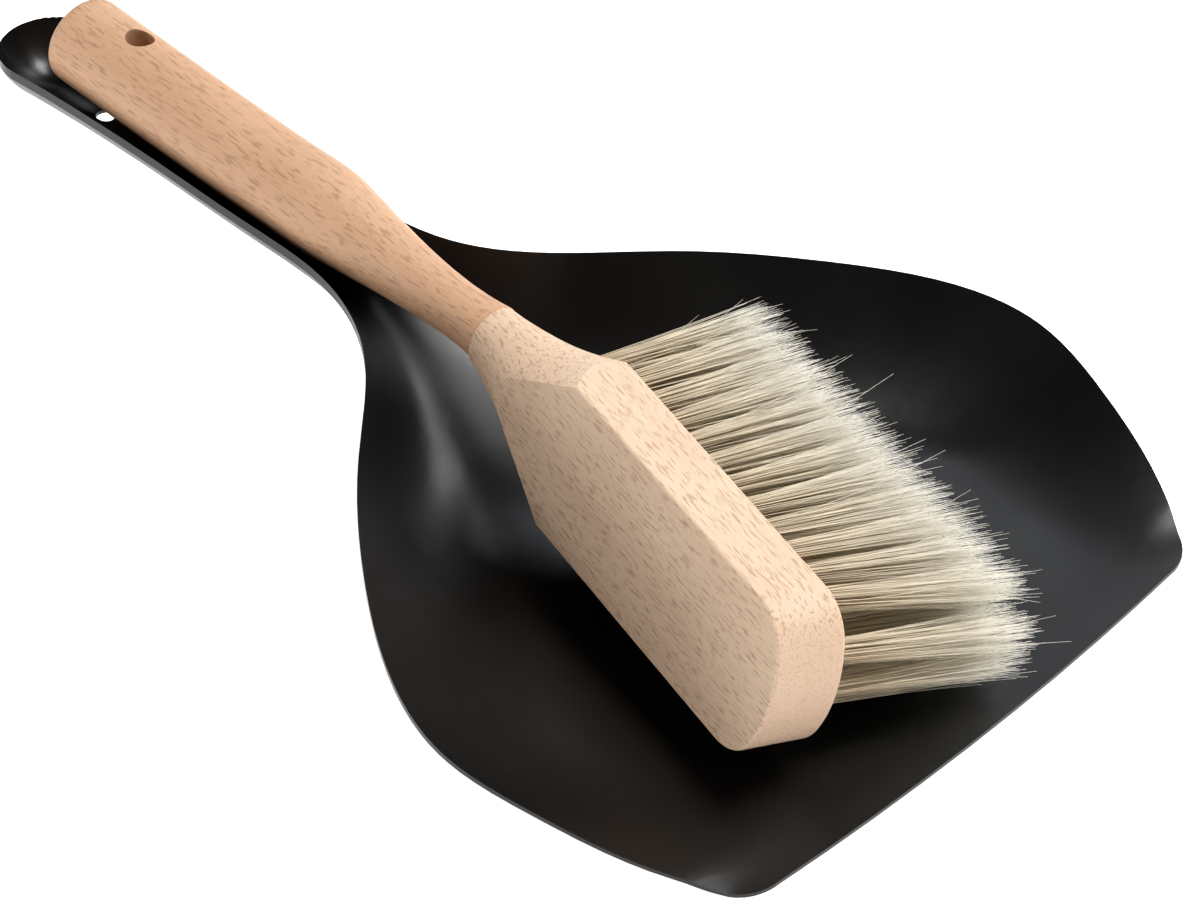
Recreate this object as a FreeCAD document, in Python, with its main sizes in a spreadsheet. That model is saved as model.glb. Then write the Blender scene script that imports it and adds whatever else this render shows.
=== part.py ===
"""Dust pan and hand brush: a pressed steel pan with a beech brush lying in it.

Frame: +Z up, origin at the middle of the footprint on the surface that the pan stands on,
the mouth of the pan towards -Y and its handle towards +Y. Millimetres and degrees.
"""

import FreeCAD, Part
import math
import os

from FreeCAD import Placement, Rotation, Vector

os.makedirs("parts", exist_ok=True)
doc = FreeCAD.newDocument("dust_pan_and_brush")

# ---------------------------------------------------------------- driving dimensions

DIMENSIONS = {
    # pressed pan
    "sheet_gauge": 1.0,
    "pan_length": 326.0,
    "mouth_bow": 3.5,
    "mouth_corner_radius": 7.0,
    "grip_half_width": 14.5,
    "grip_depth": 12.5,
    "pan_hole_radius": 2.5,
    "pan_hole_from_tip": 33.0,
    # where the neck turns from the open scoop into the round grip
    "neck_start": 125.0,
    "neck_end": 200.0,
    # brush at rest in the pan: the glued joint, and how the block lies
    "joint_across": -1.2,
    "joint_back": 154.8,
    "joint_height": 34.8,
    "block_heading": 252.5,
    "block_dip": 2.6,
    "block_roll": 14.0,
    # turned grip of the brush
    "grip_length": 151.2,
    "grip_radius": 11.9,
    "grip_rise": 16.3,
    "joint_setback": 1.6,
    "grip_end_round": 3.5,
    "joint_chamfer": 0.3,
    "brush_hole_radius": 3.85,
    "brush_hole_from_end": 22.0,
    "brush_hole_turn": 5.0,
    # brush block
    "block_length": 147.0,
    "block_width": 41.0,
    "block_thickness": 18.8,
    "block_top": 10.7,
    "block_edge_round": 0.8,
    "end_corner_radius": 13.0,
    "end_arc_radius": 34.0,
    "neck_tilt": 2.6,
    # hidden dowel of the glued joint
    "dowel_radius": 3.0,
    "dowel_length": 28.0,
    # tufts
    "tuft_pitch": 8.4,
    "tuft_row_spacing": 9.6,
    "tuft_length": 54.0,
    "tuft_hole_radius": 2.8,
    "tuft_hole_depth": 11.0,
    "tuft_root_radius": 2.55,
    "tuft_tip_radius": 3.2,
    "anchor_height": 1.0,
    "anchor_gauge": 0.4,
}

sheet = doc.addObject("Spreadsheet::Sheet", "dims")
for row, (alias, number) in enumerate(DIMENSIONS.items(), start=1):
    sheet.set(f"A{row}", alias)
    sheet.set(f"B{row}", str(number))
    sheet.setAlias(f"B{row}", alias)
doc.recompute()


def size(alias):
    """Return the number that the sheet holds under an alias."""
    return float(getattr(sheet, alias))


def bind(obj, **expressions):
    """Bind properties of an object to expressions over the sheet."""
    for prop, expression in expressions.items():
        obj.setExpression(prop, expression)


def add(kind, name, **expressions):
    """Add a document object and bind its sizes."""
    obj = doc.addObject(kind, name)
    obj.Label = name
    bind(obj, **expressions)
    return obj


def boolean(kind, name, base, tool):
    """Add a cut or common of two objects."""
    obj = doc.addObject(kind, name)
    obj.Label = name
    obj.Base = base
    obj.Tool = tool
    return obj


def smoothstep(value, low, high):
    """Rise from 0 at low to 1 at high with no kink at either end."""
    share = min(max((value - low) / (high - low), 0.0), 1.0)
    return share * share * (3.0 - 2.0 * share)


# ---------------------------------------------------------------- dust pan

# The pan is drawn from its mouth: distance back from the mouth corners, half of its width
# there, and the height of its rim above the floor of the pan.
PAN_STATIONS = [
    (0.0, 79.0, 0.0),
    (20.0, 93.0, 5.5),
    (45.0, 103.0, 13.0),
    (70.0, 107.5, 19.5),
    (95.0, 99.0, 24.5),
    (120.0, 81.0, 28.0),
    (145.0, 57.0, 31.5),
    (165.0, 34.0, 33.5),
    (182.0, 21.0, 34.5),
    (198.0, 15.3, 36.0),
    (225.0, 14.5, 39.0),
    (265.0, 14.5, 43.0),
    (300.0, 14.5, 45.0),
]
PAN_OVERRUN = 12.0
FLAT_AT_MOUTH = 0.62
FLAT_AT_NECK = 0.30
WALL_POWER = 2.0
GRIP_FULLNESS = 0.9


def through(points):
    """Return a cubic curve through (distance, value) pairs, with the distance as parameter."""
    curve = Part.BSplineCurve()
    curve.interpolate(
        Points=[Vector(value, distance, 0.0) for distance, value in points],
        Parameters=[distance for distance, value in points],
    )
    return curve


half_width_curve = through([(back, half) for back, half, rise in PAN_STATIONS])
rim_height_curve = through([(back, rise) for back, half, rise in PAN_STATIONS])
last_station = PAN_STATIONS[-1][0]
mouth_y = -(size("pan_length") - size("mouth_bow")) / 2.0


def half_width(back):
    """Return half of the width of the pan at a distance back from its mouth."""
    if back <= 0.0:
        return half_width_curve.value(0.0).x + back * half_width_curve.tangent(0.0)[0].x
    return half_width_curve.value(min(back, last_station)).x


def rim_height(back):
    """Return the height of the rim above the floor of the pan."""
    if back <= 0.0:
        return 0.0
    return rim_height_curve.value(min(back, last_station)).x * smoothstep(back, 0.0, 14.0)


def pan_height(across, back):
    """Return the height of the inner face of the pan above its floor."""
    grip = smoothstep(back, size("neck_start"), size("neck_end"))
    rim = rim_height(back)
    floor = grip * (rim - size("grip_depth"))
    end_centre = size("pan_length") - size("grip_half_width")
    reach = math.hypot(across, max(back - end_centre, 0.0)) / half_width(back)
    flat_share = smoothstep(back, 60.0, 140.0)
    flat = FLAT_AT_MOUTH + (FLAT_AT_NECK - FLAT_AT_MOUTH) * flat_share
    wall = (max(reach - flat, 0.0) / (1.0 - flat)) ** WALL_POWER
    turn = min(GRIP_FULLNESS * reach, 0.98)
    rounded = (1.0 - math.sqrt(1.0 - turn * turn)) / (1.0 - math.sqrt(1.0 - GRIP_FULLNESS**2))
    bend = grip * grip
    return floor + (rim - floor) * ((1.0 - bend) * wall + bend * rounded)


def inner_point(share, back):
    """Return the point of the inner face at a share of the half width and a distance back."""
    across = share * half_width(back)
    height = size("sheet_gauge") + pan_height(across, back)
    return Vector(across, mouth_y + back, height)


def outer_point(share, back):
    """Return the point of the outer face below an inner one, one gauge away along the normal."""
    step = 0.001
    along_x = inner_point(share + step, back) - inner_point(share - step, back)
    along_y = inner_point(share, back + step) - inner_point(share, back - step)
    normal = along_x.cross(along_y).normalize()
    return inner_point(share, back) - normal * size("sheet_gauge")


def pan_face(point_at):
    """Return one face of the pressing, a little larger than the trimmed pan."""
    rows = [-PAN_OVERRUN + 3.0 * step for step in range(13)]
    rows += [rows[-1] + 5.0 * step for step in range(1, 19)]
    rows += [rows[-1] + 4.0 * step for step in range(1, 48)]
    rows += [rows[-1] + 1.25 * step for step in range(1, 21)]
    shares = [math.sin(math.pi / 2.0 * step / 18.0) * 1.03 for step in range(-18, 19)]
    surface = Part.BSplineSurface()
    surface.interpolate([[point_at(share, back) for share in shares] for back in rows])
    return surface.toShape()


def pressing_solid():
    """Return the untrimmed pressing as one closed solid of even gauge."""
    top = pan_face(inner_point)
    bottom = pan_face(outer_point)
    sides = [
        Part.makeRuledSurface(edge_top, edge_bottom)
        for edge_top, edge_bottom in zip(top.Edges, bottom.Edges)
    ]
    shell = Part.makeShell([top, bottom] + sides)
    shell.sewShape()
    solid = Part.makeSolid(shell)
    if solid.Volume < 0:
        solid.reverse()
    return solid


def pan_outline():
    """Return the sketch geometry of the trimmed outline, seen from above."""
    corner = size("mouth_corner_radius")
    bow = size("mouth_bow")
    grip = size("grip_half_width")
    end_centre = size("pan_length") - grip
    start = corner * 0.9
    side = [(back, half) for back, half, rise in PAN_STATIONS if back > start]
    side.insert(0, (start, half_width(start)))
    geometry = []
    for mirror in (1.0, -1.0):
        curve = Part.BSplineCurve()
        points = [Vector(mirror * half, mouth_y + back, 0.0) for back, half in side]
        curve.interpolate(Points=points, Parameters=[back for back, half in side])
        geometry.append(curve)
        begin = Vector(mirror * grip, mouth_y + side[-1][0], 0.0)
        finish = Vector(mirror * grip, mouth_y + end_centre, 0.0)
        geometry.append(Part.LineSegment(begin, finish))
    tip = Vector(0.0, mouth_y + size("pan_length"), 0.0)
    right_end = Vector(grip, mouth_y + end_centre, 0.0)
    left_end = Vector(-grip, mouth_y + end_centre, 0.0)
    geometry.append(Part.Arc(right_end, tip, left_end))
    half_mouth = PAN_STATIONS[0][1]
    lip = half_mouth - corner
    lip_y = mouth_y - bow * (1.0 - (lip / half_mouth) ** 2)
    right_lip = Vector(lip, lip_y, 0.0)
    left_lip = Vector(-lip, lip_y, 0.0)
    geometry.append(Part.Arc(right_lip, Vector(0.0, mouth_y - bow, 0.0), left_lip))
    for mirror in (1.0, -1.0):
        side_point = Vector(mirror * side[0][1], mouth_y + start, 0.0)
        lip_point = Vector(mirror * lip, lip_y, 0.0)
        middle = Vector(mirror * (half_mouth - 0.55), mouth_y + 0.9, 0.0)
        geometry.append(Part.Arc(side_point, middle, lip_point))
    return geometry


outline = doc.addObject("Sketcher::SketchObject", "pan_outline")
outline.addGeometry(pan_outline(), False)
outline.Placement = Placement(Vector(0.0, 0.0, -5.0), Rotation())

trim = doc.addObject("Part::Extrusion", "pan_trim")
trim.Base = outline
trim.DirMode = "Normal"
trim.Solid = True
bind(trim, LengthFwd="100")

pressing = doc.addObject("Part::Feature", "pan_pressing")
pressing.Shape = pressing_solid()

pan_blank = boolean("Part::Common", "pan_blank", pressing, trim)
pan_punch = add("Part::Cylinder", "pan_punch", Radius="dims.pan_hole_radius", Height="60")
punch_y = mouth_y + size("pan_length") - size("pan_hole_from_tip")
pan_punch.Placement = Placement(Vector(0.0, punch_y, 5.0), Rotation())
dust_pan = boolean("Part::Cut", "dust_pan", pan_blank, pan_punch)

# ---------------------------------------------------------------- brush frame

# The brush is drawn upright in a frame of its own: origin at the glued joint, +X along the
# block to its free end, +Y across it and -Z the way that the bristles point.
heading = math.radians(size("block_heading"))
dip = math.radians(size("block_dip"))
roll = math.radians(size("block_roll"))
forward = Vector(
    math.cos(heading) * math.cos(dip), math.sin(heading) * math.cos(dip), -math.sin(dip)
)
level = Vector(0, 0, 1).cross(forward).normalize()
above = forward.cross(level)
bristle_way = level * math.cos(roll) - above * math.sin(roll)
widthwise = level * math.sin(roll) + above * math.cos(roll)
brush_placement = Placement(
    Vector(size("joint_across"), mouth_y + size("joint_back"), size("joint_height")),
    Rotation(forward, widthwise, bristle_way * -1.0, "XYZ"),
)
grip_rise = math.radians(size("grip_rise"))
grip_way = Vector(-math.cos(grip_rise), 0.0, math.sin(grip_rise))
grip_turn = Rotation(Vector(0, 0, 1), grip_way)


def brush_part(obj):
    """Lay a finished part of the brush where the brush rests in the pan."""
    obj.Placement = brush_placement
    return obj


# ---------------------------------------------------------------- turned grip

# Distance from the joint, radius, and how far the centre sits towards the bristles.
GRIP_SECTIONS = [
    (-1.6, 7.9, 0.0),
    (12.0, 7.1, 0.0),
    (24.0, 7.8, 0.0),
    (38.0, 9.3, 0.5),
    (48.0, 10.7, 0.9),
    (58.0, 11.9, 1.2),
    (72.0, 11.9, 0.8),
    (88.0, 11.9, 0.3),
    (102.0, 11.9, 0.05),
    (116.0, 11.9, 0.0),
]
grip_side = Vector(-grip_way.z, 0.0, grip_way.x)

grip_radius_curve = through([(along, radius) for along, radius, aside in GRIP_SECTIONS])
grip_aside_curve = through([(along, aside) for along, radius, aside in GRIP_SECTIONS])
RING_COUNT = 33
loft_start = GRIP_SECTIONS[0][0]
ring_step = (GRIP_SECTIONS[-1][0] - loft_start) / (RING_COUNT - 1)

rings = []
for number in range(RING_COUNT):
    along = loft_start + ring_step * number
    ring = doc.addObject("Part::Circle", f"grip_ring_{number + 1:02d}")
    ring.Radius = grip_radius_curve.value(along).x
    aside = grip_aside_curve.value(along).x
    ring.Placement = Placement(grip_way * along + grip_side * aside, grip_turn)
    rings.append(ring)
grip_loft = doc.addObject("Part::Loft", "grip_loft")
grip_loft.Sections = rings
grip_loft.Solid = True
grip_loft.Ruled = False
doc.recompute()


def edge_at(shape, point, reach):
    """Return the number of the round edge whose middle lies at a point."""
    for number, edge in enumerate(shape.Edges, start=1):
        if edge.isClosed() and (edge.BoundBox.Center - point).Length < reach:
            return number
    raise RuntimeError("no edge there")


grip_straight = add("Part::Cylinder", "grip_straight", Radius="dims.grip_radius")
straight_start = GRIP_SECTIONS[-1][0]
bind(grip_straight, Height=f"dims.grip_length - {straight_start}")
grip_straight.Placement = Placement(grip_way * straight_start, grip_turn)
doc.recompute()

end_edge = edge_at(grip_straight.Shape, grip_way * size("grip_length"), 1.0)
grip_end = doc.addObject("Part::Fillet", "grip_end")
grip_end.Base = grip_straight
grip_end.Edges = [(end_edge, size("grip_end_round"), size("grip_end_round"))]
joint_centre = grip_way * -size("joint_setback")
joint_edge = edge_at(grip_loft.Shape, joint_centre, 1.0)
grip_eased = doc.addObject("Part::Chamfer", "grip_eased")
grip_eased.Base = grip_loft
grip_eased.Edges = [(joint_edge, size("joint_chamfer"), size("joint_chamfer"))]
grip_whole = boolean("Part::Fuse", "grip_whole", grip_eased, grip_end)

brush_drill = add("Part::Cylinder", "brush_drill", Radius="dims.brush_hole_radius", Height="40")
drill_centre = grip_way * (size("grip_length") - size("brush_hole_from_end"))
brush_drill.Placement = Placement(
    drill_centre, Rotation(grip_way, -size("brush_hole_turn"))
).multiply(Placement(Vector(0, -20.0, 0), Rotation(Vector(0, 0, 1), Vector(0, 1, 0))))
dowel_bore = add(
    "Part::Cylinder", "dowel_bore", Radius="dims.dowel_radius", Height="dims.dowel_length"
)
dowel_place = Placement(grip_way * (-size("dowel_length") / 2.0), grip_turn)
dowel_bore.Placement = dowel_place
grip_drilled = boolean("Part::Cut", "grip_drilled", grip_whole, brush_drill)
handle = brush_part(boolean("Part::Cut", "handle", grip_drilled, dowel_bore))

neck_dowel = add(
    "Part::Cylinder", "neck_dowel", Radius="dims.dowel_radius", Height="dims.dowel_length"
)
neck_dowel.Placement = brush_placement.multiply(dowel_place)

# ---------------------------------------------------------------- brush block

SLAB_BEHIND_JOINT = 6.0


def slab_outline():
    """Return the outline of the block: straight sides and an end of three arcs."""
    half = size("block_width") / 2.0
    corner = size("end_corner_radius")
    big = size("end_arc_radius")
    length = size("block_length")
    big_centre = length - big
    offset = math.sqrt((big - corner) ** 2 - (half - corner) ** 2)
    centre_x = big_centre + offset
    slope = math.atan2(half - corner, offset)
    back_corners = [Vector(-SLAB_BEHIND_JOINT, side * half, 0.0) for side in (-1.0, 1.0)]
    geometry = [Part.LineSegment(back_corners[0], back_corners[1])]
    meeting = {}
    for mirror in (1.0, -1.0):
        tangent = Vector(centre_x, mirror * half, 0.0)
        meet = Vector(
            big_centre + big * math.cos(slope), mirror * big * math.sin(slope), 0.0
        )
        halfway = (math.pi / 2.0 + slope) / 2.0
        middle = Vector(
            centre_x + corner * math.cos(halfway),
            mirror * (half - corner + corner * math.sin(halfway)),
            0.0,
        )
        geometry.append(Part.LineSegment(Vector(-SLAB_BEHIND_JOINT, mirror * half, 0), tangent))
        geometry.append(Part.Arc(tangent, middle, meet))
        meeting[mirror] = meet
    geometry.append(Part.Arc(meeting[1.0], Vector(length, 0.0, 0.0), meeting[-1.0]))
    return geometry


slab = doc.addObject("PartDesign::Body", "block_slab")
base_plane = [
    feature for feature in slab.Origin.OriginFeatures if feature.Role == "XY_Plane"
][0]
slab_sketch = slab.newObject("Sketcher::SketchObject", "slab_sketch")
slab_sketch.AttachmentSupport = [(base_plane, "")]
slab_sketch.MapMode = "FlatFace"
slab_sketch.addGeometry(slab_outline(), False)
slab_pad = slab.newObject("PartDesign::Pad", "slab_pad")
slab_pad.Profile = slab_sketch
bind(slab_pad, Length="dims.block_thickness")
doc.recompute()
round_edges = []
for number, edge in enumerate(slab_pad.Shape.Edges, start=1):
    box = edge.BoundBox
    if box.ZLength < 0.01 and box.XMax > -SLAB_BEHIND_JOINT + 0.01:
        round_edges.append(f"Edge{number}")
slab_round = slab.newObject("PartDesign::Fillet", "slab_round")
slab_round.Base = (slab_pad, round_edges)
bind(slab_round, Radius="dims.block_edge_round")
slab.Tip = slab_round
slab.Placement = Placement(
    Vector(0, 0, size("block_top") - size("block_thickness")), Rotation()
)

# Radius of the turned neck against the distance from the joint along its own axis.
NECK_PROFILE = [
    (-6.0, 7.3),
    (1.0, 7.9),
    (14.0, 10.2),
    (26.0, 13.4),
    (34.0, 16.4),
    (42.0, 20.0),
    (60.0, 29.0),
]
NECK_CLEAR_RADIUS = 60.0
NECK_CLEAR_LENGTH = 190.0


def neck_profile_face():
    """Return the half profile that is turned about the axis of the neck."""
    curve = Part.BSplineCurve()
    curve.interpolate([Vector(along, radius, 0.0) for along, radius in NECK_PROFILE])
    first = Vector(NECK_PROFILE[0][0], 0.0, 0.0)
    last = Vector(NECK_PROFILE[-1][0], NECK_PROFILE[-1][1], 0.0)
    outer = Vector(last.x + 12.0, NECK_CLEAR_RADIUS, 0.0)
    far_outer = Vector(NECK_CLEAR_LENGTH, NECK_CLEAR_RADIUS, 0.0)
    far_axis = Vector(NECK_CLEAR_LENGTH, 0.0, 0.0)
    edges = [
        curve.toShape(),
        Part.LineSegment(last, outer).toShape(),
        Part.LineSegment(outer, far_outer).toShape(),
        Part.LineSegment(far_outer, far_axis).toShape(),
        Part.LineSegment(far_axis, first).toShape(),
        Part.LineSegment(first, Vector(first.x, NECK_PROFILE[0][1], 0.0)).toShape(),
    ]
    return Part.Face(Part.Wire(Part.__sortEdges__(edges)))


neck_turning = doc.addObject("Part::Feature", "neck_turning")
neck_turning.Shape = neck_profile_face().revolve(Vector(0, 0, 0), Vector(1, 0, 0), 360)
neck_turning.Placement = Placement(
    Vector(0, 0, 0), Rotation(Vector(0, 1, 0), size("neck_tilt"))
)
block_turned = boolean("Part::Common", "block_turned", slab, neck_turning)

joint_saw = add("Part::Box", "joint_saw", Length="80", Width="80", Height="40")
joint_saw.Placement = Placement(joint_centre, grip_turn).multiply(
    Placement(Vector(-40.0, -40.0, 0.0), Rotation())
)
block_sawn = boolean("Part::Cut", "block_sawn", block_turned, joint_saw)

# ---------------------------------------------------------------- tufts

# Rows across the block: name, place across it in row spacings, distances of the first and
# the last tuft from the joint, and lean of the row towards +Y in degrees. The rows that lie
# on the floor of the pan are pushed up by it.
TUFT_ROWS = [
    ("a", -1.5, 37.0, 130.5, 7.0),
    ("b", -0.5, 34.0, 138.0, 4.5),
    ("c", 0.5, 34.0, 138.0, 2.0),
    ("d", 1.5, 37.0, 130.5, 0.0),
]
FAN_BACK = -10.0
FAN_FRONT = 6.2

face_z = size("block_top") - size("block_thickness")


def tuft_layout():
    """Return (name, root on the bristle face, direction) for every tuft."""
    tufts = []
    for row_name, place, first, last, lean in TUFT_ROWS:
        across = place * size("tuft_row_spacing")
        count = int((last - first) / size("tuft_pitch")) + 1
        step = (last - first) / (count - 1)
        for number in range(count):
            along = first + step * number
            share = number / (count - 1)
            fan = FAN_BACK + (FAN_FRONT - FAN_BACK) * share**2.2
            root = Vector(along, across, face_z)
            way = Vector(
                math.tan(math.radians(fan)), math.tan(math.radians(lean)), -1.0
            ).normalize()
            tufts.append((f"tuft_{row_name}{number + 1:02d}", root, way))
    return tufts


tuft_nodes = []
hole_tools = []
anchor_shapes = []
for tuft_name, root, way in tuft_layout():
    turn = Rotation(Vector(0, 0, 1), way)
    bottom = root - way * size("tuft_hole_depth")
    start = root - way * (size("tuft_hole_depth") - size("anchor_height"))
    hole = add(
        "Part::Cylinder",
        tuft_name.replace("tuft", "hole"),
        Radius="dims.tuft_hole_radius",
        Height="dims.tuft_hole_depth + 6",
    )
    hole.Placement = Placement(bottom, turn)
    hole_tools.append(hole)
    tuft = add(
        "Part::Cone",
        tuft_name,
        Radius1="dims.tuft_root_radius",
        Radius2="dims.tuft_tip_radius",
        Height="dims.tuft_length + dims.tuft_hole_depth - dims.anchor_height",
    )
    tuft.Placement = brush_placement.multiply(Placement(start, turn))
    tuft_nodes.append(tuft)
    span = 2.0 * size("tuft_root_radius")
    plate = Part.makeBox(span, size("anchor_gauge"), size("anchor_height"))
    plate.translate(Vector(-span / 2.0, -size("anchor_gauge") / 2.0, 0.0))
    plate.Placement = brush_placement.multiply(Placement(bottom, turn)).multiply(plate.Placement)
    anchor_shapes.append(plate)

drilling = doc.addObject("Part::Compound", "tuft_drilling")
drilling.Links = hole_tools
block_drilled = boolean("Part::Cut", "block_drilled", block_sawn, drilling)
neck_bore = add(
    "Part::Cylinder", "neck_bore", Radius="dims.dowel_radius", Height="dims.dowel_length"
)
neck_bore.Placement = dowel_place
block = brush_part(boolean("Part::Cut", "block", block_drilled, neck_bore))

tuft_anchors = doc.addObject("Part::Feature", "tuft_anchors")
tuft_anchors.Label = "tuft_anchors"
tuft_anchors.Shape = Part.makeCompound(anchor_shapes)

# ---------------------------------------------------------------- checks and export

doc.recompute()
nodes = [dust_pan, handle, neck_dowel, block, tuft_anchors] + tuft_nodes

for obj in doc.Objects:
    if "Invalid" in obj.State or "Error" in obj.State:
        raise RuntimeError(f"{obj.Label} failed: {obj.State}")
for node in nodes:
    if node.Shape.isNull() or not node.Shape.isValid():
        raise RuntimeError(f"{node.Label} has no valid shape")
    if node.Shape.Volume <= 0.0:
        raise RuntimeError(f"{node.Label} has no volume")
    node.Shape.exportStep(f"parts/{node.Label}.step")

print(f"{len(nodes)} nodes, {len(tuft_nodes)} tufts")
for node in (dust_pan, handle, neck_dowel, block):
    box = node.Shape.BoundBox
    print(
        f"{node.Label}: {node.Shape.Volume / 1000.0:.2f} cm3, "
        f"x {box.XMin:.1f}..{box.XMax:.1f} y {box.YMin:.1f}..{box.YMax:.1f} "
        f"z {box.ZMin:.2f}..{box.ZMax:.2f}, solids {len(node.Shape.Solids)}"
    )
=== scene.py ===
"""Looks of a pressed steel dust pan and the beech hand brush that lies in it.

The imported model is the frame. The pan, the grip and the block keep their solids and get their
finishes here. Each row of tufts is replaced by drawn bristles. Metres throughout.
"""

import logging
import math
import random
from dataclasses import dataclass, field
from enum import Enum

import bpy
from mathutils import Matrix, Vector
from mathutils.bvhtree import BVHTree

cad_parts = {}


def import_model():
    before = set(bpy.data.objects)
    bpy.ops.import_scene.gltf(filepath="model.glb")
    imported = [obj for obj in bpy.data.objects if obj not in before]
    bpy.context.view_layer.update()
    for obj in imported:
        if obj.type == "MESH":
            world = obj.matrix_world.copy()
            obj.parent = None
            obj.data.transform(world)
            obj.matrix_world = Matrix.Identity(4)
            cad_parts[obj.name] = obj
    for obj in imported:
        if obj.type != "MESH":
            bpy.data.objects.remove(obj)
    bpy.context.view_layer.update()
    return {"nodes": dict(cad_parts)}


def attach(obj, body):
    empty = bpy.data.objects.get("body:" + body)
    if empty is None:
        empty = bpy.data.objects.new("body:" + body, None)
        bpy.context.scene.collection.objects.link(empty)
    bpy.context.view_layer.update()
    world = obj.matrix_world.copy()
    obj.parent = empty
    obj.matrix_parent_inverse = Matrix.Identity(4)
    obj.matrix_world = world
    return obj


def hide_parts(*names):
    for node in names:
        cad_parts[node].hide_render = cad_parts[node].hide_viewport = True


LOG = logging.getLogger("dust_pan_and_brush")
MM = 0.001
AXIS_ROUNDS = 30
PROBE_HEIGHT = 0.1

# Places of the colour sockets on a Mix node.
MIX_SHARE = 0
MIX_FIRST = 6
MIX_SECOND = 7
MIX_RESULT = 2

# Scales of the grain and wire noises: along the length, then twice across it.
BAND_STRETCH = (9.0, 70.0, 70.0)
STREAK_STRETCH = (45.0, 900.0, 900.0)
PORE_STRETCH = (230.0, 1700.0, 1700.0)
FLECK_STRETCH = (230.0, 420.0, 420.0)
WIRE_STRETCH = (4000.0, 400.0, 400.0)

# First and last tuft of one row and the first of the next: they give the block's directions.
ROW_MARKS = ("tuft_b01", "tuft_b13", "tuft_c01")

Tree = bpy.types.NodeTree
Socket = bpy.types.NodeSocket
Node = bpy.types.Node
Material = bpy.types.Material
Rgb = tuple[float, float, float]
Rgba = tuple[float, float, float, float]


class WoodCut(Enum):
    """How the wood of a piece was cut, which sets the look of its grain."""

    TURNED = "turned"
    FLAT_SAWN = "flat_sawn"


# ---------------------------------------------------------------- node helpers


def socket_group(
    name: str, inputs: dict[str, tuple[str, object]], outputs: dict[str, str]
) -> tuple[Tree, Node, Node]:
    """Start a shader node group with named sockets.

    Args:
        name: Name of the group.
        inputs: Socket name to (socket type, default value).
        outputs: Socket name to socket type.

    Returns:
        The tree, its input node and its output node.
    """
    tree = bpy.data.node_groups.new(name, "ShaderNodeTree")
    for label, (kind, default) in inputs.items():
        item = tree.interface.new_socket(name=label, in_out="INPUT", socket_type=kind)
        if default is not None:
            item.default_value = default
    for label, kind in outputs.items():
        tree.interface.new_socket(name=label, in_out="OUTPUT", socket_type=kind)
    return tree, tree.nodes.new("NodeGroupInput"), tree.nodes.new("NodeGroupOutput")


def noise(tree: Tree, vector: Socket, scale: float, detail: float = 3.0) -> Socket:
    """Add a noise texture over a vector and return its value socket."""
    node = tree.nodes.new("ShaderNodeTexNoise")
    node.inputs["Scale"].default_value = scale
    node.inputs["Detail"].default_value = detail
    tree.links.new(vector, node.inputs["Vector"])
    return node.outputs["Fac"]


def stretch(tree: Tree, vector: Socket, factors: tuple[float, float, float]) -> Socket:
    """Scale a vector by constant factors and return the result socket."""
    node = tree.nodes.new("ShaderNodeVectorMath")
    node.operation = "MULTIPLY"
    node.inputs[1].default_value = factors
    tree.links.new(vector, node.inputs[0])
    return node.outputs["Vector"]


def ramp(
    tree: Tree, value: Socket, low: float, high: float, start: float = 0.0, end: float = 1.0
) -> Socket:
    """Map a value from low..high to start..end, clamped.

    Args:
        tree: Tree to add to.
        value: Socket to map.
        low: Value that gives start.
        high: Value that gives end.
        start: Result at the low value.
        end: Result at the high value.

    Returns:
        The result socket.
    """
    node = tree.nodes.new("ShaderNodeMapRange")
    node.inputs["From Min"].default_value = low
    node.inputs["From Max"].default_value = high
    node.inputs["To Min"].default_value = start
    node.inputs["To Max"].default_value = end
    tree.links.new(value, node.inputs["Value"])
    return node.outputs["Result"]


def arithmetic(tree: Tree, operation: str, first: Socket | float, second: Socket | float) -> Socket:
    """Join two values, each a socket or a number, and return the result socket."""
    node = tree.nodes.new("ShaderNodeMath")
    node.operation = operation
    for place, value in enumerate((first, second)):
        if isinstance(value, (int, float)):
            node.inputs[place].default_value = value
        else:
            tree.links.new(value, node.inputs[place])
    return node.outputs[0]


def mix_colour(tree: Tree, share: Socket, first: Socket | Rgb, second: Socket | Rgb) -> Socket:
    """Mix two colours, each a socket or an RGB tuple, and return the result socket."""
    node = tree.nodes.new("ShaderNodeMix")
    node.data_type = "RGBA"
    tree.links.new(share, node.inputs[MIX_SHARE])
    for place, value in ((MIX_FIRST, first), (MIX_SECOND, second)):
        if isinstance(value, tuple):
            node.inputs[place].default_value = (*value[:3], 1.0)
        else:
            tree.links.new(value, node.inputs[place])
    return node.outputs[MIX_RESULT]


# ---------------------------------------------------------------- shared effects


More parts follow.
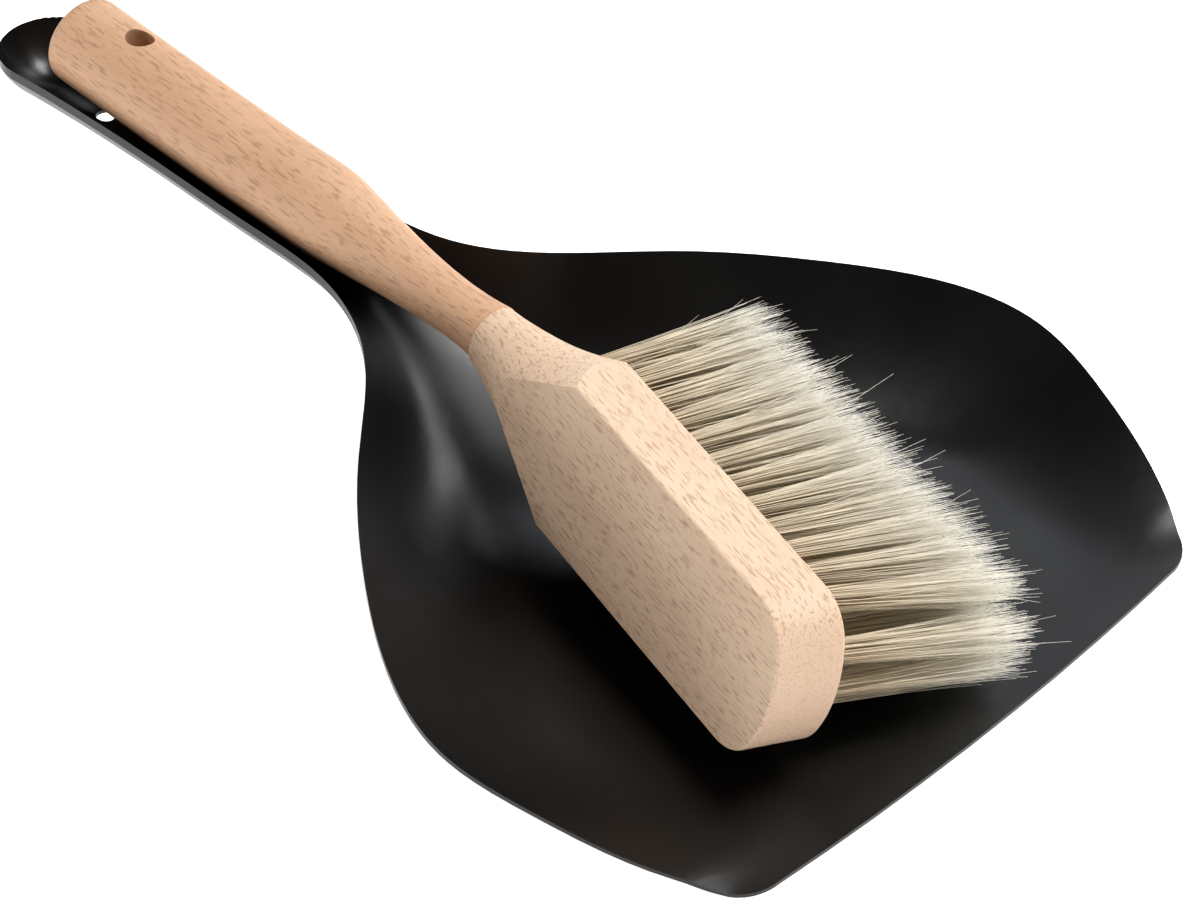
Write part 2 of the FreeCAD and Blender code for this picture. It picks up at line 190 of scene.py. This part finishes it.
def beech_grain_group() -> Tree:
    """Build the group that draws beech: tone bands, streaks, pore dashes and ray flecks.

    Its vector has X along the grain. It returns a colour, a roughness and a height.
    """
    tree, entry, leave = socket_group(
        "beech_grain",
        {
            "Vector": ("NodeSocketVector", None),
            "Light": ("NodeSocketColor", (0.75, 0.5, 0.33, 1.0)),
            "Dark": ("NodeSocketColor", (0.6, 0.38, 0.24, 1.0)),
            "Pore": ("NodeSocketColor", (0.33, 0.18, 0.1, 1.0)),
            "Fleck": ("NodeSocketColor", (0.5, 0.27, 0.16, 1.0)),
            "Pore Amount": ("NodeSocketFloat", 0.5),
            "Fleck Amount": ("NodeSocketFloat", 0.3),
            "Band Amount": ("NodeSocketFloat", 0.5),
        },
        {"Color": "NodeSocketColor", "Roughness": "NodeSocketFloat", "Height": "NodeSocketFloat"},
    )
    where = entry.outputs["Vector"]
    bands = ramp(tree, noise(tree, stretch(tree, where, BAND_STRETCH), 1.0), 0.35, 0.68)
    cloud = ramp(tree, noise(tree, where, 28.0, 2.0), 0.35, 0.7)
    streaks = noise(tree, stretch(tree, where, STREAK_STRETCH), 1.0, 2.0)
    streaks = ramp(tree, streaks, 0.35, 0.70)
    tone = arithmetic(tree, "ADD", arithmetic(tree, "ADD", bands, cloud), streaks)
    tone = arithmetic(tree, "MULTIPLY", tone, 1.0 / 3.0)
    tone = arithmetic(tree, "MULTIPLY", tone, entry.outputs["Band Amount"])
    base = mix_colour(tree, tone, entry.outputs["Light"], entry.outputs["Dark"])
    pores = noise(tree, stretch(tree, where, PORE_STRETCH), 1.0, 1.0)
    pores = ramp(tree, pores, 0.55, 0.68)
    pore_share = arithmetic(tree, "MULTIPLY", pores, entry.outputs["Pore Amount"])
    grained = mix_colour(tree, pore_share, base, entry.outputs["Pore"])
    flecks = noise(tree, stretch(tree, where, FLECK_STRETCH), 1.0, 1.0)
    flecks = ramp(tree, flecks, 0.66, 0.74)
    fleck_share = arithmetic(tree, "MULTIPLY", flecks, entry.outputs["Fleck Amount"])
    colour = mix_colour(tree, fleck_share, grained, entry.outputs["Fleck"])
    tree.links.new(colour, leave.inputs["Color"])
    tree.links.new(ramp(tree, bands, 0.0, 1.0, 0.50, 0.62), leave.inputs["Roughness"])
    tree.links.new(arithmetic(tree, "SUBTRACT", 1.0, pores), leave.inputs["Height"])
    return tree


def coating_texture_group() -> Tree:
    """Build the group that draws a fine coating: orange peel, faint dust and rubbed patches."""
    tree, entry, leave = socket_group(
        "coating_texture",
        {
            "Vector": ("NodeSocketVector", None),
            "Dust Amount": ("NodeSocketFloat", 0.3),
            "Smooth": ("NodeSocketFloat", 0.28),
            "Rough": ("NodeSocketFloat", 0.36),
        },
        {"Dust": "NodeSocketFloat", "Roughness": "NodeSocketFloat", "Height": "NodeSocketFloat"},
    )
    where = entry.outputs["Vector"]
    specks = ramp(tree, noise(tree, where, 1500.0, 1.0), 0.74, 0.80)
    areas = ramp(tree, noise(tree, where, 22.0, 2.0), 0.50, 0.72)
    dust = arithmetic(tree, "MULTIPLY", specks, areas)
    dust = arithmetic(tree, "MULTIPLY", dust, entry.outputs["Dust Amount"])
    rubbed = ramp(tree, noise(tree, where, 35.0, 4.0), 0.35, 0.70)
    span = arithmetic(tree, "SUBTRACT", entry.outputs["Rough"], entry.outputs["Smooth"])
    rough = arithmetic(
        tree, "ADD", entry.outputs["Smooth"], arithmetic(tree, "MULTIPLY", rubbed, span)
    )
    tree.links.new(dust, leave.inputs["Dust"])
    tree.links.new(rough, leave.inputs["Roughness"])
    tree.links.new(noise(tree, where, 1100.0, 2.0), leave.inputs["Height"])
    return tree


# ---------------------------------------------------------------- finishes


def start_material(name: str) -> tuple[Material, Tree, Node]:
    """Start a node material and return it with its tree and its Principled shader."""
    material = bpy.data.materials.new(name)
    material.use_nodes = True
    return material, material.node_tree, material.node_tree.nodes["Principled BSDF"]


def add_group(tree: Tree, group: Tree, values: dict[str, object]) -> Node:
    """Place a node group in a tree and set its unlinked inputs."""
    node = tree.nodes.new("ShaderNodeGroup")
    node.node_tree = group
    for label, value in values.items():
        node.inputs[label].default_value = value
    return node


def link_bump(
    tree: Tree, shader: Node, height: Socket, strength: float, distance: float
) -> None:
    """Feed a height through a Bump node into the shader's normal."""
    bump = tree.nodes.new("ShaderNodeBump")
    bump.inputs["Strength"].default_value = strength
    bump.inputs["Distance"].default_value = distance
    tree.links.new(height, bump.inputs["Height"])
    tree.links.new(bump.outputs["Normal"], shader.inputs["Normal"])


@dataclass(frozen=True)
class CoatedSteel:
    """Black semi-gloss coating on pressed sheet."""

    colour: Rgb = (0.0030, 0.0029, 0.0030)
    dust_colour: Rgb = (0.16, 0.15, 0.14)
    dust: float = 0.35
    smooth: float = 0.30
    rough: float = 0.37
    peel: float = 0.05
    peel_depth: float = 0.15 * MM
    shine: float = 0.36

    def material(self, group: Tree) -> Material:
        """Build the material over the coating group."""
        material, tree, shader = start_material("coated_steel")
        place = tree.nodes.new("ShaderNodeTexCoord").outputs["Object"]
        texture = add_group(
            tree, group, {"Dust Amount": self.dust, "Smooth": self.smooth, "Rough": self.rough}
        )
        tree.links.new(place, texture.inputs["Vector"])
        colour = mix_colour(tree, texture.outputs["Dust"], self.colour, self.dust_colour)
        tree.links.new(colour, shader.inputs["Base Color"])
        tree.links.new(texture.outputs["Roughness"], shader.inputs["Roughness"])
        shader.inputs["Specular IOR Level"].default_value = self.shine
        link_bump(tree, shader, texture.outputs["Height"], self.peel, self.peel_depth)
        return material


@dataclass(frozen=True)
class Beech:
    """Sanded beech, with its grain laid along one direction."""

    name: str
    light: Rgba
    dark: Rgba
    cut: WoodCut = WoodCut.FLAT_SAWN
    pore: Rgba = (0.30, 0.165, 0.095, 1.0)
    fleck: Rgba = (0.52, 0.30, 0.19, 1.0)
    pore_amount: float = 0.5
    fleck_amount: float = 0.3
    band_amount: float = 0.7
    # How far faces that look along the grain go toward the dark tone: partly the real darker end
    # grain, partly painted shade
    end_grain_and_shade: float = 0.20
    turned_fleck: float = 1.4
    shine: float = 0.35
    relief: float = 0.12
    relief_depth: float = 0.1 * MM

    def material(self, group: Tree, along: Vector, across: Vector) -> Material:
        """Build the material.

        Args:
            group: The beech grain group.
            along: Unit direction of the grain in the row frame.
            across: Unit direction across it.

        Returns:
            The material.
        """
        material, tree, shader = start_material(self.name)
        place = tree.nodes.new("ShaderNodeTexCoord").outputs["Object"]
        join = tree.nodes.new("ShaderNodeCombineXYZ")
        for number, way in enumerate((along, across, along.cross(across))):
            dot = tree.nodes.new("ShaderNodeVectorMath")
            dot.operation = "DOT_PRODUCT"
            dot.inputs[1].default_value = way
            tree.links.new(place, dot.inputs[0])
            tree.links.new(dot.outputs["Value"], join.inputs[number])
        fleck = self.fleck_amount * (self.turned_fleck if self.cut is WoodCut.TURNED else 1.0)
        grain = add_group(
            tree,
            group,
            {
                "Light": self.light,
                "Dark": self.dark,
                "Pore": self.pore,
                "Fleck": self.fleck,
                "Pore Amount": self.pore_amount,
                "Fleck Amount": fleck,
                "Band Amount": self.band_amount,
            },
        )
        tree.links.new(join.outputs[0], grain.inputs["Vector"])
        normal = tree.nodes.new("ShaderNodeTexCoord").outputs["Normal"]
        facing = tree.nodes.new("ShaderNodeVectorMath")
        facing.operation = "DOT_PRODUCT"
        facing.inputs[1].default_value = along
        tree.links.new(normal, facing.inputs[0])
        # Faces that look along the grain are mixed toward the dark tone: the real darker end grain,
        # and on the block painted shade on its end face as well
        ends = arithmetic(tree, "ABSOLUTE", facing.outputs["Value"], 0.0)
        ends = ramp(tree, ends, 0.45, 0.95, 0.0, self.end_grain_and_shade)
        colour = mix_colour(tree, ends, grain.outputs["Color"], self.dark[:3])
        tree.links.new(colour, shader.inputs["Base Color"])
        tree.links.new(grain.outputs["Roughness"], shader.inputs["Roughness"])
        shader.inputs["Specular IOR Level"].default_value = self.shine
        link_bump(tree, shader, grain.outputs["Height"], self.relief, self.relief_depth)
        return material


@dataclass(frozen=True)
class Bristle:
    """Pale bristle that runs from tan at the root to cream at the tip."""

    root: Rgb = (0.60, 0.43, 0.25)
    middle: Rgb = (0.93, 0.82, 0.62)
    tip: Rgb = (0.98, 0.95, 0.86)
    roughness: float = 0.45
    tone_share: float = 0.25

    def material(self) -> Material:
        """Build the material over the attribute that grades each hair."""
        material, tree, shader = start_material("bristle")
        grade = tree.nodes.new("ShaderNodeAttribute")
        grade.attribute_name = "hair"
        parts = tree.nodes.new("ShaderNodeSeparateColor")
        tree.links.new(grade.outputs["Color"], parts.inputs["Color"])
        low = mix_colour(tree, ramp(tree, parts.outputs[0], 0.0, 0.45), self.root, self.middle)
        high = mix_colour(tree, ramp(tree, parts.outputs[0], 0.45, 0.95), low, self.tip)
        share = ramp(tree, parts.outputs[1], 0.0, 1.0, 0.0, self.tone_share)
        colour = mix_colour(tree, share, high, self.middle)
        tree.links.new(colour, shader.inputs["Base Color"])
        shader.inputs["Roughness"].default_value = self.roughness
        return material


@dataclass(frozen=True)
class Wire:
    """Flattened steel wire at the bottom of the tuft holes."""

    colour: Rgba = (0.55, 0.55, 0.54, 1.0)

    def material(self) -> Material:
        """Build the material, with drawn marks in its roughness."""
        material, tree, shader = start_material("anchor_wire")
        place = tree.nodes.new("ShaderNodeTexCoord").outputs["Object"]
        marks = noise(tree, stretch(tree, place, WIRE_STRETCH), 1.0)
        tree.links.new(ramp(tree, marks, 0.3, 0.7, 0.3, 0.5), shader.inputs["Roughness"])
        shader.inputs["Base Color"].default_value = self.colour
        shader.inputs["Metallic"].default_value = 1.0
        return material


# ---------------------------------------------------------------- frame readings


def long_axis(node: bpy.types.Object) -> tuple[Vector, Vector]:
    """Return the mean point of a slender node's mesh and the direction of its length."""
    points = [vertex.co for vertex in node.data.vertices]
    middle = sum(points, Vector()) / len(points)
    direction = max(points, key=lambda point: (point - middle).length) - middle
    for _ in range(AXIS_ROUNDS):
        direction = sum(((p - middle) * (p - middle).dot(direction) for p in points), Vector())
        direction.normalize()
    return middle, direction


@dataclass(frozen=True)
class TuftAxis:
    """Axis of one tuft solid, from the end in its hole to its tip."""

    start: Vector
    way: Vector
    length: float

    @classmethod
    def of(cls, node: bpy.types.Object, inside: Vector) -> "TuftAxis":
        """Read the axis from a tuft's mesh, pointing away from a point inside the block."""
        middle, way = long_axis(node)
        if (middle - inside).dot(way) < 0.0:
            way = -way
        reach = [(vertex.co - middle).dot(way) for vertex in node.data.vertices]
        return cls(middle + way * min(reach), way, max(reach) - min(reach))


def dress(node: bpy.types.Object, material: Material) -> None:
    """Give a carried-over node its material and smooth shading."""
    node.data.materials.clear()
    node.data.materials.append(material)
    for polygon in node.data.polygons:
        polygon.use_smooth = True


# ---------------------------------------------------------------- sub-assemblies


@dataclass
class DustPan:
    """The pressed pan."""

    nodes: dict
    finish: CoatedSteel = field(default_factory=CoatedSteel)

    def build(self, group: Tree) -> None:
        """Dress the pan."""
        dress(self.nodes["dust_pan"], self.finish.material(group))
        LOG.info("pan dressed")


@dataclass
class BrushWood:
    """The turned grip, the block and the hidden dowel."""

    nodes: dict
    grip: Beech = field(
        default_factory=lambda: Beech(
            "grip_beech",
            (0.74, 0.46, 0.29, 1.0),
            (0.57, 0.32, 0.185, 1.0),
            WoodCut.TURNED,
            pore_amount=0.5,
        )
    )
    block: Beech = field(
        default_factory=lambda: Beech(
            "block_beech",
            (0.88, 0.67, 0.49, 1.0),
            (0.70, 0.47, 0.32, 1.0),
            pore=(0.38, 0.21, 0.12, 1.0),
            pore_amount=0.55,
            fleck_amount=0.4,
            # Set well past real end grain: painted shade that darkens the block's end face
            end_grain_and_shade=0.55,
        )
    )
    dowel: Beech = field(
        default_factory=lambda: Beech("dowel_beech", (0.7, 0.48, 0.32, 1.0), (0.6, 0.4, 0.25, 1.0))
    )

    def build(self, group: Tree, block_way: Vector, across: Vector) -> None:
        """Dress the three wooden pieces, each along its own grain.

        Args:
            group: The beech grain group.
            block_way: Direction along the block.
            across: Direction across the block.
        """
        _, grip_way = long_axis(self.nodes["handle"])
        flat = (across - grip_way * across.dot(grip_way)).normalized()
        dress(self.nodes["handle"], self.grip.material(group, grip_way, flat))
        dress(self.nodes["neck_dowel"], self.dowel.material(group, grip_way, flat))
        dress(self.nodes["block"], self.block.material(group, block_way, across))
        LOG.info("wood dressed")


@dataclass
class Bristles:
    """Rows of drawn bristles, one piece for each row of tuft solids."""

    nodes: dict
    block_middle: Vector
    hairs: int = 210
    sides: int = 3
    steps: int = 5
    hair_radius: float = 0.13 * MM
    root_radius: float = 2.45 * MM
    tip_spread: float = 1.75
    spread_low: float = 0.75
    spread_high: float = 1.2
    ragged: float = 2.2 * MM
    shortfall: float = 1.2 * MM
    wander_mm: float = 1.1
    taper: float = 0.75
    stray_share: float = 0.02
    stray_bend: float = 5.0
    stray_extra: float = 4.0 * MM
    floor_gap: float = 0.35 * MM
    seed: int = 7

    def rows(self) -> dict[str, list[str]]:
        """Return the tuft nodes of each row."""
        found: dict[str, list[str]] = {}
        for name in sorted(self.nodes):
            if name.startswith("tuft_") and name != "tuft_anchors":
                found.setdefault(name[5], []).append(name)
        return found

    def pan_surface(self) -> BVHTree:
        """Return a search tree over the pan's mesh."""
        mesh = self.nodes["dust_pan"].data
        return BVHTree.FromPolygons(
            [vertex.co.copy() for vertex in mesh.vertices],
            [tuple(polygon.vertices) for polygon in mesh.polygons],
        )

    def above_pan(self, point: Vector, surface: BVHTree) -> Vector:
        """Return the point, lifted clear of the pan's inner face if it is below it."""
        above = Vector((point.x, point.y, PROBE_HEIGHT))
        hit = surface.ray_cast(above, Vector((0.0, 0.0, -1.0)))[0]
        if hit is None:
            return point
        return Vector((point.x, point.y, max(point.z, hit.z + self.floor_gap)))

    def hair_path(self, axis: TuftAxis, dice: random.Random, surface: BVHTree) -> list[Vector]:
        """Return the points of one hair of a tuft, from its hole to its tip."""
        side = axis.way.orthogonal().normalized()
        other = axis.way.cross(side)
        turn = dice.uniform(0.0, 2.0 * math.pi)
        reach = math.sqrt(dice.random()) * self.root_radius
        out = side * math.cos(turn) + other * math.sin(turn)
        spread = self.tip_spread * dice.uniform(self.spread_low, self.spread_high)
        length = axis.length + dice.gauss(0.0, self.ragged) - abs(dice.gauss(0.0, self.shortfall))
        wander = side * dice.gauss(0.0, 1.0) + other * dice.gauss(0.0, 1.0)
        wander = wander * self.wander_mm * MM
        if dice.random() < self.stray_share:
            wander *= self.stray_bend
            length += self.stray_extra
        points = []
        for step in range(self.steps + 1):
            share = step / self.steps
            place = axis.start + axis.way * (length * share)
            place += out * reach * (1.0 + (spread - 1.0) * share)
            place += wander * share * share
            points.append(self.above_pan(place, surface))
        return points

    def hair_points(self, path: list[Vector]) -> list[Vector]:
        """Return the points of the rings round a hair's path, ring after ring."""
        points = []
        for step, point in enumerate(path):
            share = step / self.steps
            way = (path[min(step + 1, self.steps)] - path[max(step - 1, 0)]).normalized()
            side = way.orthogonal().normalized()
            other = way.cross(side)
            radius = self.hair_radius * (1.0 - self.taper * share**2)
            for corner in range(self.sides):
                turn = 2.0 * math.pi * corner / self.sides
                offset = side * math.cos(turn) + other * math.sin(turn)
                points.append(point + offset * radius)
        return points

    def hair_faces(self, first: int) -> list[tuple[int, ...]]:
        """Return the faces of a hair whose first point has this number, both ends closed."""
        faces: list[tuple[int, ...]] = []
        for step in range(self.steps):
            low = first + step * self.sides
            high = low + self.sides
            for corner in range(self.sides):
                following = (corner + 1) % self.sides
                faces.append((low + corner, low + following, high + following, high + corner))
        last = first + self.steps * self.sides
        faces.append(tuple(range(last, last + self.sides)))
        faces.append(tuple(reversed(range(first, first + self.sides))))
        return faces

    def row_mesh(
        self, name: str, tufts: list[str], surface: BVHTree, dice: random.Random
    ) -> bpy.types.Mesh:
        """Build the mesh of one row.

        Args:
            name: Name of the mesh.
            tufts: Names of the row's tuft nodes.
            surface: Search tree over the pan.
            dice: Seeded source of chance.

        Returns:
            The mesh, with a colour attribute: distance along each hair, and its own tone.
        """
        vertices: list[Vector] = []
        faces: list[tuple[int, ...]] = []
        grades: list[float] = []
        for tuft in tufts:
            axis = TuftAxis.of(self.nodes[tuft], self.block_middle)
            for _ in range(self.hairs):
                path = self.hair_path(axis, dice, surface)
                tone = dice.random()
                faces += self.hair_faces(len(vertices))
                vertices += self.hair_points(path)
                for step in range(self.steps + 1):
                    grades += (step / self.steps, tone, 0.0, 1.0) * self.sides
        mesh = bpy.data.meshes.new(name)
        mesh.from_pydata(vertices, [], faces)
        shade = mesh.color_attributes.new("hair", "FLOAT_COLOR", "POINT")
        shade.data.foreach_set("color", grades)
        for polygon in mesh.polygons:
            polygon.use_smooth = True
        return mesh

    def build(self, material: Material) -> None:
        """Draw each row, hand it to the brush body and hide the solids it stands for."""
        surface = self.pan_surface()
        for letter, tufts in self.rows().items():
            dice = random.Random(self.seed + ord(letter))
            name = f"bristles_{letter}"
            piece = bpy.data.objects.new(name, self.row_mesh(name, tufts, surface, dice))
            bpy.context.scene.collection.objects.link(piece)
            piece.data.materials.append(material)
            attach(piece, "brush")
            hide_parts(*tufts)
            LOG.info("%s: %d tufts, %d faces", piece.name, len(tufts), len(piece.data.polygons))


@dataclass(frozen=True)
class Softbox:
    """One soft rectangular light: where it hangs, its size, power and tint."""

    name: str
    azimuth: float
    elevation: float
    away: float
    width: float
    height: float
    power: float
    colour: Rgb = (1.0, 1.0, 1.0)


@dataclass
class Studio:
    """Pale floor, soft lights and the camera."""

    azimuth: float = -47.6
    elevation: float = 38.9
    distance: float = 1.203
    field_of_view: float = 14.0
    sensor_width: float = 36.0
    clip_start: float = 0.05
    clip_end: float = 50.0
    aim: Vector = field(default_factory=lambda: Vector((0.0144, -0.02705, 0.0)))
    floor_size: float = 14.0
    floor_height: float = -0.0002
    floor_grey: float = 0.92
    floor_roughness: float = 0.9
    floor_glow: float = 0.92
    surround: float = 0.055
    lamps: tuple[Softbox, ...] = (
        Softbox("key", 50.0, 64.0, 1.6, 0.6, 0.6, 24.5, (1.0, 0.985, 0.97)),
        Softbox("back_panel", 124.0, 37.0, 1.9, 1.3, 0.5, 4.4, (0.90, 0.94, 1.0)),
        Softbox("neck_strip", 86.0, 22.0, 1.9, 0.28, 1.8, 12.0),
        Softbox("left_panel", -108.0, 18.0, 1.8, 1.0, 0.7, 10.5, (1.0, 0.95, 0.90)),
    )

    def toward(self, azimuth: float, elevation: float) -> Vector:
        """Return the unit direction to a place seen at an azimuth and an elevation."""
        turn = math.radians(azimuth)
        rise = math.radians(elevation)
        flat = math.cos(rise)
        return Vector((math.sin(turn) * flat, -math.cos(turn) * flat, math.sin(rise)))

    def floor(self) -> None:
        """Lay the floor."""
        half = self.floor_size / 2.0
        corners = [(-half, -half), (half, -half), (half, half), (-half, half)]
        mesh = bpy.data.meshes.new("floor")
        mesh.from_pydata([(x, y, self.floor_height) for x, y in corners], [], [(0, 1, 2, 3)])
        plane = bpy.data.objects.new("floor", mesh)
        bpy.context.scene.collection.objects.link(plane)
        material, _, shader = start_material("floor")
        shader.inputs["Base Color"].default_value = (*(self.floor_grey,) * 3, 1.0)
        shader.inputs["Roughness"].default_value = self.floor_roughness
        shader.inputs["Emission Color"].default_value = (1.0, 1.0, 1.0, 1.0)
        shader.inputs["Emission Strength"].default_value = self.floor_glow
        plane.data.materials.append(material)

    def hang(self, lamp: Softbox) -> None:
        """Hang a soft light that faces the middle of the object."""
        data = bpy.data.lights.new(lamp.name, "AREA")
        data.shape = "RECTANGLE"
        data.size = lamp.width
        data.size_y = lamp.height
        data.energy = lamp.power
        data.color = lamp.colour
        hung = bpy.data.objects.new(lamp.name, data)
        hung.location = self.aim + self.toward(lamp.azimuth, lamp.elevation) * lamp.away
        hung.rotation_euler = (self.aim - hung.location).to_track_quat("-Z", "Y").to_euler()
        bpy.context.scene.collection.objects.link(hung)

    def camera(self) -> None:
        """Set up the camera."""
        data = bpy.data.cameras.new("camera")
        data.sensor_width = self.sensor_width
        data.lens = self.sensor_width / 2.0 / math.tan(math.radians(self.field_of_view) / 2.0)
        data.clip_start = self.clip_start
        data.clip_end = self.clip_end
        camera = bpy.data.objects.new("camera", data)
        camera.location = self.aim + self.toward(self.azimuth, self.elevation) * self.distance
        camera.rotation_euler = (self.aim - camera.location).to_track_quat("-Z", "Y").to_euler()
        bpy.context.scene.collection.objects.link(camera)
        bpy.context.scene.camera = camera

    def world(self) -> None:
        """Set an even pale surround."""
        world = bpy.data.worlds.new("surround")
        world.use_nodes = True
        background = world.node_tree.nodes["Background"]
        background.inputs["Color"].default_value = (1.0, 1.0, 1.0, 1.0)
        background.inputs["Strength"].default_value = self.surround
        bpy.context.scene.world = world

    def build(self) -> None:
        """Build the floor, the lights, the surround and the camera."""
        self.floor()
        self.world()
        for lamp in self.lamps:
            self.hang(lamp)
        self.camera()
        bpy.context.scene.view_settings.view_transform = "Standard"


# ---------------------------------------------------------------- main


def main() -> None:
    """Build the scene in order."""
    logging.basicConfig(level=logging.INFO, format="%(message)s")
    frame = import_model()
    nodes = frame["nodes"]

    block_points = [vertex.co for vertex in nodes["block"].data.vertices]
    block_middle = sum(block_points, Vector()) / len(block_points)
    first, last, beside = (TuftAxis.of(nodes[name], block_middle).start for name in ROW_MARKS)
    block_way = (last - first).normalized()
    across = beside - first
    across = (across - block_way * across.dot(block_way)).normalized()

    grain = beech_grain_group()
    coating = coating_texture_group()
    DustPan(nodes).build(coating)
    BrushWood(nodes).build(grain, block_way, across)
    dress(nodes["tuft_anchors"], Wire().material())
    Bristles(nodes, block_middle).build(Bristle().material())
    Studio().build()


if __name__ == "__main__":
    main()
